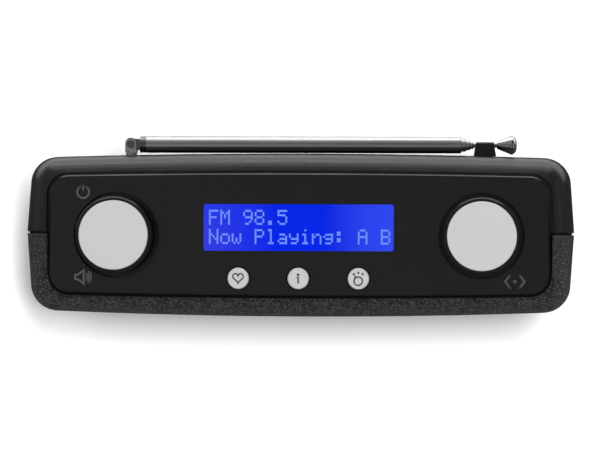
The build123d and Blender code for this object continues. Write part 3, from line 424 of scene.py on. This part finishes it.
class Print:
    """Flat marks, drawn in a plane's own x and y in mm and given a hair of thickness."""

    THICK = 0.03

    def __init__(self, origin, x_dir=(1, 0, 0), y_dir=(0, 1, 0)):
        self.origin, self.x, self.y = Vector(origin), Vector(x_dir), Vector(y_dir)
        self.up = self.x.cross(self.y)
        self.verts, self.faces = [], []

    def shape(self, outline, hole=None):
        """A filled outline, or the band between an outline and a hole with as many points."""
        n, start = len(outline), len(self.verts)
        loops = [outline] if hole is None else [outline, hole]
        for lift in (0.0, self.THICK):
            for loop in loops:
                self.verts += [
                    self.origin + self.x * a + self.y * b + self.up * lift for a, b in loop
                ]
        count = n * len(loops)
        for i in range(n):
            j = (i + 1) % n
            self.faces.append([start + i, start + j, start + count + j, start + count + i])
            if hole is not None:
                for level in (0, count):
                    self.faces.append([start + level + k for k in (i, j, n + j, n + i)])
                inner = start + n
                self.faces.append([inner + i, inner + j, inner + count + j, inner + count + i])
        if hole is None:
            self.faces.append([start + i for i in range(n)])
            self.faces.append([start + count + i for i in range(n)])

    def disc(self, at, radius, points=28):
        turns = [2 * math.pi * k / points for k in range(points)]
        self.shape([(at[0] + radius * math.cos(a), at[1] + radius * math.sin(a)) for a in turns])

    def ring(self, at, radius, width, points=40):
        turns = [2 * math.pi * k / points for k in range(points)]
        around = [(math.cos(a), math.sin(a)) for a in turns]
        radii = (radius + width / 2, radius - width / 2)
        self.shape(*[[(at[0] + r * c, at[1] + r * s) for c, s in around] for r in radii])

    def line(self, points, width, closed=False):
        """A stroke of even width with mitred corners and round ends."""
        left, right = [], []
        n = len(points)
        for i, p in enumerate(points):
            p = Vector(p)
            back = Vector(points[i - 1]) if i or closed else None
            ahead = Vector(points[(i + 1) % n]) if i < n - 1 or closed else None
            pairs = [(q, r) for q, r in ((p, back), (ahead, p)) if q is not None and r is not None]
            runs = [(q - r).normalized() for q, r in pairs]
            mean = sum(runs, Vector((0, 0))).normalized()
            side = Vector((-mean.y, mean.x))
            reach = width / 2 / max(0.4, abs(side.dot(Vector((-runs[0].y, runs[0].x)))))
            left.append(tuple(p + side * reach))
            right.append(tuple(p - side * reach))
        if closed:
            self.shape(left, right)
        else:
            self.shape(left + right[::-1])
            self.disc(points[0], width / 2, 12)
            self.disc(points[-1], width / 2, 12)

    def arc(self, at, radius, begin, end, width, points=18):
        """A stroke along part of a circle, from one angle to another in degrees."""
        steps = [math.radians(begin + (end - begin) * k / (points - 1)) for k in range(points)]
        path = [(at[0] + radius * math.cos(a), at[1] + radius * math.sin(a)) for a in steps]
        self.line(path, width)

    def make(self, name, material, body="case", slot=None):
        return piece(name, self.verts, self.faces, material, body, smooth=None)


# ---------------------------------------------------------------- materials for the CAD nodes

case_black = moulded(
    "case_black", (0.0062, 0.0062, 0.0064), 0.3, grain=0.35, lift=0.022, wear=0.2, Specular_IOR_Level=0.5
)
inner_black = moulded(
    "inner_black", (0.004, 0.004, 0.004), 0.7, grain=0.4, lift=0.03, Specular_IOR_Level=0.15
)
panel_black = moulded(
    "panel_black", (0.0032, 0.0032, 0.0033), 0.28, grain=0.2, lift=0.006, wear=0.05, Specular_IOR_Level=0.5
)
clip_black = moulded(
    "clip_black", (0.004, 0.004, 0.004), 0.5, grain=0.3, lift=0.03, Specular_IOR_Level=0.3
)
knob_black = moulded(
    "knob_black", (0.005, 0.005, 0.0053), 0.26, grain=0.6, lift=0.004, Specular_IOR_Level=0.25
)
chrome = polished("chrome", (0.46, 0.456, 0.45), 0.25, (0.02, 1.0, 1.0))
cast_chrome = polished("cast_chrome", (0.5, 0.495, 0.49), 0.2, ripple=0.05)
dark_metal = polished("dark_metal", (0.2, 0.195, 0.19), 0.25, ripple=0.03)
tin = polished("tin_plate", (0.66, 0.66, 0.64), 0.3)
turned = polished("turned_metal", (0.75, 0.75, 0.76), 0.25, (1.0, 1.0, 0.05))
zinc = polished("zinc_screw", (0.25, 0.25, 0.26), 0.32)
rubber = moulded("rubber", (0.014, 0.014, 0.014), 0.85, grain=0.5, lift=0.05)
button_silver = speckled_silver("button_silver", (0.56, 0.55, 0.54), 0.12, BUTTON_SHADE_LINE)
component = moulded("component_black", (0.02, 0.02, 0.021), 0.45, grain=0.4, lift=0.02)
solder_mask = moulded("solder_mask", (0.01, 0.09, 0.03), 0.35, grain=0.8, lift=0.02)
natural = moulded("natural_plastic", (0.75, 0.75, 0.72), 0.4)
plated = moulded("plated_steel", (0.12, 0.12, 0.12), 0.4, grain=0.5, Metallic=0.8)
paper = moulded("cone_paper", (0.03, 0.03, 0.03), 0.9, grain=0.6, lift=0.1)
foam = moulded("foam", (0.04, 0.04, 0.04), 0.95, grain=0.5, lift=0.15)
resin_cloth = moulded("resin_cloth", (0.35, 0.2, 0.05), 0.8, grain=0.5, lift=0.1)
ferrite = moulded("ferrite", (0.03, 0.03, 0.032), 0.6, grain=0.5, lift=0.05)
copper = polished("copper_wire", (0.7, 0.3, 0.13), 0.3)
sleeve = moulded("cell_sleeve", (0.02, 0.12, 0.3), 0.3, grain=2.0, lift=0.005)
wire = moulded("wire_cover", (0.25, 0.01, 0.01), 0.45, grain=0.4, lift=0.02)
ribbon = moulded("ribbon_cover", (0.4, 0.4, 0.4), 0.45, grain=0.6, lift=0.02)

finishes = {
    "aerial_chrome": chrome,
    "backlight": natural,
    "board": solder_mask,
    "button_silver": button_silver,
    "case_plastic": case_black,
    "cell": sleeve,
    "clip_plastic": clip_black,
    "cloth": inner_black,
    "component_black": component,
    "copper": copper,
    "ferrite": ferrite,
    "inner_plastic": inner_black,
    "knob_black": knob_black,
    "knob_silver": button_silver,
    "panel_plastic": panel_black,
    "plunger_plastic": natural,
    "ribbon": ribbon,
    "screw_steel": zinc,
    "shaft_metal": turned,
    "speaker_cloth": resin_cloth,
    "speaker_foam": foam,
    "speaker_paper": paper,
    "speaker_rubber": rubber,
    "speaker_steel": plated,
    "tin_plate": tin,
    "window": clear_window(),
    "wire": wire,
}
for entry in frame["record"]["subparts"]:
    dress(entry["node"], finishes[entry["material_slot"]])

dress("aerial_post", cast_chrome)
dress("aerial_tip", cast_chrome)
for node in ("aerial_rivet", "aerial_knuckle"):
    dress(node, dark_metal)

for side in ("volume", "tuning"):
    low, high = box_mm(f"{side}_knob_disc")
    centre = ((low[0] + high[0]) / 2, (low[1] + high[1]) / 2)
    dress(f"{side}_knob_disc", spun(f"{side}_disc_metal", (0.51, 0.505, 0.50), centre))

# ---------------------------------------------------------------- the cloth


def unroll(x, y, z):
    """Where a point of the cloth lay, in mm, before it was drawn over the front of the case."""
    depth = SEAM - y
    up = z - MIDDLE
    core_x = HALF_WIDTH - depth * SIDE_SLOPE - CORNER
    core_z = HALF_HEIGHT - depth * TOP_SLOPE - CORNER
    qx = max(-core_x, min(core_x, x))
    qz = max(-core_z, min(core_z, up))
    out = Vector((x - qx, up - qz))
    reach = out.length
    if reach <= CORNER - ROUND:
        return x, up
    out = out / reach
    inside = CORNER - reach
    face = FRONT - x * x / (2 * CROWN_RADIUS)
    if depth > face - ROUND:
        run = ROUND * math.atan2(ROUND - inside, ROUND - (face - depth))
    else:
        run = ROUND * math.pi / 2 + face - ROUND - depth
    # At a corner the cloth has further to go, so its weave draws together there
    give = 1.0 - 0.4 * abs(2 * out.x * out.y)
    run = CORNER - ROUND + run * give
    return qx + out.x * run, qz + out.y * run


def make_cloth():
    bm = bmesh.new()
    bm.from_mesh(nodes["grille_cloth"].data)
    bmesh.ops.remove_doubles(bm, verts=bm.verts, dist=2e-6)
    # Even out the long facets, so that the weave follows the bends
    for _ in range(5):
        long_edges = [e for e in bm.edges if e.calc_length() > 4 * MM]
        if not long_edges:
            break
        bmesh.ops.subdivide_edges(bm, edges=long_edges, cuts=1)
        bmesh.ops.triangulate(bm, faces=[f for f in bm.faces if len(f.verts) > 3])
    layer = bm.loops.layers.uv.new("unrolled")
    for face in bm.faces:
        for loop in face.loops:
            loop[layer].uv = unroll(*[c / MM for c in loop.vert.co])
    mesh = bpy.data.meshes.new("front_cloth")
    bm.to_mesh(mesh)
    bm.free()
    mesh.materials.append(woven())
    mesh.shade_smooth()
    mesh.set_sharp_from_angle(angle=math.radians(50))
    obj = bpy.data.objects.new("front_cloth", mesh)
    bpy.context.scene.collection.objects.link(obj)
    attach(obj, "case")
    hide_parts("grille_cloth")


make_cloth()

# ---------------------------------------------------------------- the display

GLYPHS = {
    "F": "11111 10000 10000 11110 10000 10000 10000",
    "M": "10001 11011 10101 10101 10001 10001 10001",
    "9": "01110 10001 10001 01111 00001 00010 01100",
    "8": "01110 10001 10001 01110 10001 10001 01110",
    ".": "00000 00000 00000 00000 00000 01100 01100",
    "5": "11111 10000 11110 00001 00001 10001 01110",
    "N": "10001 10001 11001 10101 10011 10001 10001",
    "o": "00000 00000 01110 10001 10001 10001 01110",
    "w": "00000 00000 10001 10001 10101 10101 01010",
    "P": "11110 10001 10001 11110 10000 10000 10000",
    "l": "01100 00100 00100 00100 00100 00100 01110",
    "a": "00000 00000 01110 00001 01111 10001 01111",
    "y": "00000 00000 10001 10001 01111 00001 01110",
    "i": "00100 00000 01100 00100 00100 00100 01110",
    "n": "00000 00000 10110 11001 10001 10001 10001",
    "g": "00000 00000 01111 10001 01111 00001 01110",
    ":": "00000 01100 01100 00000 01100 01100 00000",
    "A": "01110 10001 10001 11111 10001 10001 10001",
    "B": "11110 10001 10001 11110 10001 10001 11110",
    " ": "00000 00000 00000 00000 00000 00000 00000",
}
window_low, window_high = box_mm("display_window")
glass_low, glass_high = box_mm("display_glass")
WINDOW_X = (window_low[0] + window_high[0]) / 2
WINDOW_Y = (window_low[1] + window_high[1]) / 2
FIELD = glass_high[2]  # the height of the lit field
BEVEL = 0.2
LETTER_PITCH = 3.572
FIRST_LETTER = -28.1  # the left edge of the first letter, from the window's middle
ROW_TOPS = (5.5, -0.5)
DOT_ACROSS, DOT_DOWN = 0.605, 0.675  # from dot to dot
DOT_WIDE, DOT_HIGH = 0.545, 0.6


def make_display():
    # The glass, with its lit field on top and a bevelled edge
    half_x, half_y = (glass_high[0] - glass_low[0]) / 2, (glass_high[1] - glass_low[1]) / 2
    rings = [(0.0, glass_low[2]), (0.0, FIELD - BEVEL), (BEVEL, FIELD)]
    verts, faces = [], []
    for inset, z in rings:
        for sx, sy in ((-1, -1), (1, -1), (1, 1), (-1, 1)):
            verts.append((WINDOW_X + sx * (half_x - inset), WINDOW_Y + sy * (half_y - inset), z))
    for level in range(2):
        for i in range(4):
            j = (i + 1) % 4
            faces.append([level * 4 + i, level * 4 + j, level * 4 + 4 + j, level * 4 + 4 + i])
    faces += [[3, 2, 1, 0], [8, 9, 10, 11]]
    glass = piece("display_field", verts, faces, lit_display())
    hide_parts("display_glass")
    # Two rows of sixteen characters, each five dots by seven
    dots = Print((WINDOW_X, WINDOW_Y, FIELD + 0.02))
    dots.THICK = 0.02
    for text, row_top in zip(("FM 98.5", "Now Playing: A B"), ROW_TOPS):
        for column, letter in enumerate(text):
            left = FIRST_LETTER + LETTER_PITCH * column
            for j, line in enumerate(GLYPHS[letter].split()):
                for i, bit in enumerate(line):
                    if bit == "1":
                        x, y = left + i * DOT_ACROSS, row_top - j * DOT_DOWN
                        right, low = x + DOT_WIDE, y - DOT_HIGH
                        dots.shape([(x, low), (right, low), (right, y), (x, y)])
    dots.make("display_characters", lit_dots(), slot="backlight")


make_display()

# ---------------------------------------------------------------- marks on the panel and the keys

ink_grey = moulded("panel_ink", (0.055, 0.055, 0.055), 0.6, grain=0.15, lift=0.01)
ink_pale = moulded("case_ink", (0.22, 0.22, 0.22), 0.6, grain=0.15, lift=0.01)
ink_dark = moulded("key_ink", (0.035, 0.035, 0.035), 0.6, grain=0.15, lift=0.01)
PROUD = 0.01  # how far a print's underside stands off its surface


def on_key(node):
    """A print about the middle of a key's top."""
    low, high = box_mm(node)
    return Print(((low[0] + high[0]) / 2, (low[1] + high[1]) / 2, high[2] + PROUD))


def on_panel(x, y):
    return Print((x, y, PANEL_TOP + PROUD))


def make_marks():
    """Symbols by the knobs and on the three keys, each drawn in mm about its own middle."""
    power = on_panel(-67.1, SEAM + 12.45)
    power.arc((0, -0.15), 1.85, 122, 418, 0.62, 30)
    power.line([(0, 0.3), (0, 2.0)], 0.62)
    power.make("power_mark", ink_grey, slot="panel_plastic")
    sound = on_panel(-67.0, SEAM - 14.1)
    horn = [(-2.45, -0.65), (-1.6, -0.75), (0.2, -2.05), (0.2, 2.05), (-1.6, 0.75), (-2.45, 0.65)]
    sound.line(horn, 0.62, closed=True)
    for radius in (1.15, 1.75, 2.4):
        sound.arc((0.1, 0), radius, -48, 48, 0.42, 14)
    sound.make("sound_mark", ink_grey, slot="panel_plastic")
    tune = on_panel(67.0, SEAM - 15.0)
    tune.line([(-1.5, 1.9), (-3.0, 0), (-1.5, -1.9)], 0.6)
    tune.line([(1.5, 1.9), (3.0, 0), (1.5, -1.9)], 0.6)
    tune.disc((0, 0), 0.55)
    tune.make("tune_mark", ink_grey, slot="panel_plastic")

    heart = on_key("favourite_button")
    curve = []
    points, size = 40, 0.103
    for k in range(points):
        a = 2 * math.pi * k / points
        across = 16 * math.sin(a) ** 3
        up = 13 * math.cos(a) - 5 * math.cos(2 * a) - 2 * math.cos(3 * a) - math.cos(4 * a)
        curve.append((size * across, size * up + 0.2))
    heart.line(curve, 0.44, closed=True)
    heart.make("favourite_mark", ink_dark, "favourite_key", "button_silver")

    info = on_key("info_button")
    info.line([(0, 0.3), (0, -1.45)], 0.46)
    info.line([(-0.4, 0.32), (0, 0.32)], 0.34)
    info.disc((0, 1.15), 0.42)
    info.make("info_mark", ink_dark, "info_key", "button_silver")

    dial = on_key("menu_button")
    dial.ring((-0.05, -0.75), 1.3, 0.46)
    for spot in ((-1.4, 1.42), (0.0, 1.85), (1.35, 1.5)):
        dial.disc(spot, 0.36)
    dial.line([(-0.75, 0.4), (-1.15, 0.85)], 0.4)
    dial.make("menu_mark", ink_dark, "menu_key", "button_silver")


def make_rear_marks():
    """Plain marks above the two sockets, on the gently bowed rear face."""
    above = 72.5
    bow = (HALF_WIDTH**2 + REAR_CROWN**2) / (2 * REAR_CROWN)

    def on_rear(x, z):
        y = SEAM + REAR - x * x / (2 * bow)
        return Print((x, y + PROUD, z), (-1, x / bow, 0), (0, 0, 1))

    phones = on_rear(58.0, above)
    phones.arc((0, -0.4), 2.3, 0, 180, 0.5, 24)
    for side in (-1, 1):
        phones.line([(side * 2.3, -0.5), (side * 2.3, -1.9)], 1.0)
    phones.make("headphone_mark", ink_pale, slot="case_plastic")

    polarity = on_rear(42.0, above)
    polarity.disc((0, 0), 0.6)
    polarity.arc((0, 0), 1.4, 35, 325, 0.4, 24)
    polarity.line([(0.9, 0), (3.2, 0)], 0.35)
    polarity.line([(-1.6, 0), (-3.2, 0)], 0.35)
    for side in (-1, 1):
        polarity.ring((side * 4.2, 0), 0.95, 0.3, 24)
        polarity.line([(side * 4.2 - 0.45, 0), (side * 4.2 + 0.45, 0)], 0.25)
    polarity.line([(4.2, -0.45), (4.2, 0.45)], 0.25)
    polarity.make("polarity_mark", ink_pale, slot="case_plastic")


make_marks()
make_rear_marks()

# ---------------------------------------------------------------- floor, lights, world


def floor_paper():
    """Pale paper, that is dark where something mirrors it."""
    t = Tree("floor_paper")
    t.set(
        Base_Color=t.mix(t.noise(3.0, 3.0), (0.92, 0.92, 0.92, 1), (0.95, 0.95, 0.95, 1)),
        Roughness=0.9,
        Specular_IOR_Level=0.2,
    )
    mirrored = t.node("ShaderNodeEmission")
    mirrored.inputs["Color"].default_value = (0.1, 0.1, 0.1, 1)
    either = t.node("ShaderNodeMixShader")
    t.link(t.node("ShaderNodeLightPath").outputs["Is Glossy Ray"], either.inputs["Fac"])
    t.link(t.shader.outputs[0], either.inputs[1])
    t.link(mirrored.outputs[0], either.inputs[2])
    t.link(either.outputs[0], t.output.inputs["Surface"])
    return t.mat


bpy.ops.mesh.primitive_plane_add(size=12.0, location=(0, 0, 0))
floor = bpy.context.object
floor.name = "floor"
floor.data.materials.append(floor_paper())
floor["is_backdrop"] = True


def make_world():
    """A dim studio for fill, a little brighter where it is mirrored; the camera sees a pale backdrop."""
    world = bpy.data.worlds.new("studio")
    bpy.context.scene.world = world
    world.use_nodes = True
    tree = world.node_tree
    dim = tree.nodes["Background"]
    dim.inputs["Color"].default_value = (1.0, 1.0, 1.0, 1)
    dim.inputs["Strength"].default_value = 0.14
    path = tree.nodes.new("ShaderNodeLightPath")
    seen = dim
    for ray, grey in (("Is Glossy Ray", 0.23), ("Is Camera Ray", 0.94)):
        other = tree.nodes.new("ShaderNodeBackground")
        other.inputs["Color"].default_value = (grey, grey, grey, 1)
        if ray == "Is Glossy Ray":
            # What is mirrored isn't even: dark and light patches of a room
            patches = tree.nodes.new("ShaderNodeTexNoise")
            patches.inputs["Scale"].default_value = 2.2
            patches.inputs["Detail"].default_value = 1.0
            contrast = tree.nodes.new("ShaderNodeMapRange")
            for socket, value in zip(contrast.inputs, (0.0, 0.42, 0.58, 0.25 * grey, 1.75 * grey)):
                socket.default_value = value
            towards = tree.nodes.new("ShaderNodeTexCoord").outputs["Generated"]
            tree.links.new(towards, patches.inputs["Vector"])
            tree.links.new(patches.outputs["Fac"], contrast.inputs["Value"])
            tree.links.new(contrast.outputs[0], other.inputs["Color"])
        mix = tree.nodes.new("ShaderNodeMixShader")
        tree.links.new(path.outputs[ray], mix.inputs["Fac"])
        tree.links.new(seen.outputs[0], mix.inputs[1])
        tree.links.new(other.outputs[0], mix.inputs[2])
        seen = mix
    tree.links.new(seen.outputs[0], tree.nodes["World Output"].inputs["Surface"])


def lamp(name, at, aim, size, power, lights="surfaces"):
    """A soft box that either lights surfaces or is only mirrored in them."""
    data = bpy.data.lights.new(name, "AREA")
    data.shape = "RECTANGLE"
    data.size, data.size_y = size
    data.energy = power
    obj = bpy.data.objects.new(name, data)
    obj.location = at
    obj.rotation_euler = (Vector(aim) - Vector(at)).to_track_quat("-Z", "Y").to_euler()
    obj.visible_camera = False
    obj.visible_transmission = False
    obj.visible_glossy = lights == "gloss"
    obj.visible_diffuse = lights == "surfaces"
    bpy.context.scene.collection.objects.link(obj)


make_world()
# Name, place and aim in metres, size in metres, power in watts
lamp("key", (0.33, 0.12, 2.4), (0, 0, 0.05), (0.5, 0.2), 52)
lamp("sky", (0.0, 0.25, 2.5), (0, 0, 0.0), (1.0, 0.6), 23)
lamp("front_fill", (0.3, -2.2, 1.0), (0, 0, 0.05), (1.6, 1.2), 5)
lamp("backdrop", (0.0, 1.6, 0.45), (0, 1.0, 0.45), (2.2, 0.9), 7.5, "gloss")
lamp("horizon", (0.0, 1.55, 0.1), (0, 1.0, 0.1), (2.0, 0.2), 4.5, "gloss")
lamp("sweep", (0.0, 0.8, 0.004), (0, 0.8, 1.0), (1.6, 1.4), 13, "gloss")

scene = bpy.context.scene
scene.view_settings.view_transform = "Standard"
scene.view_settings.look = "None"
scene.view_settings.exposure = 0.0

low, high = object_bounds()
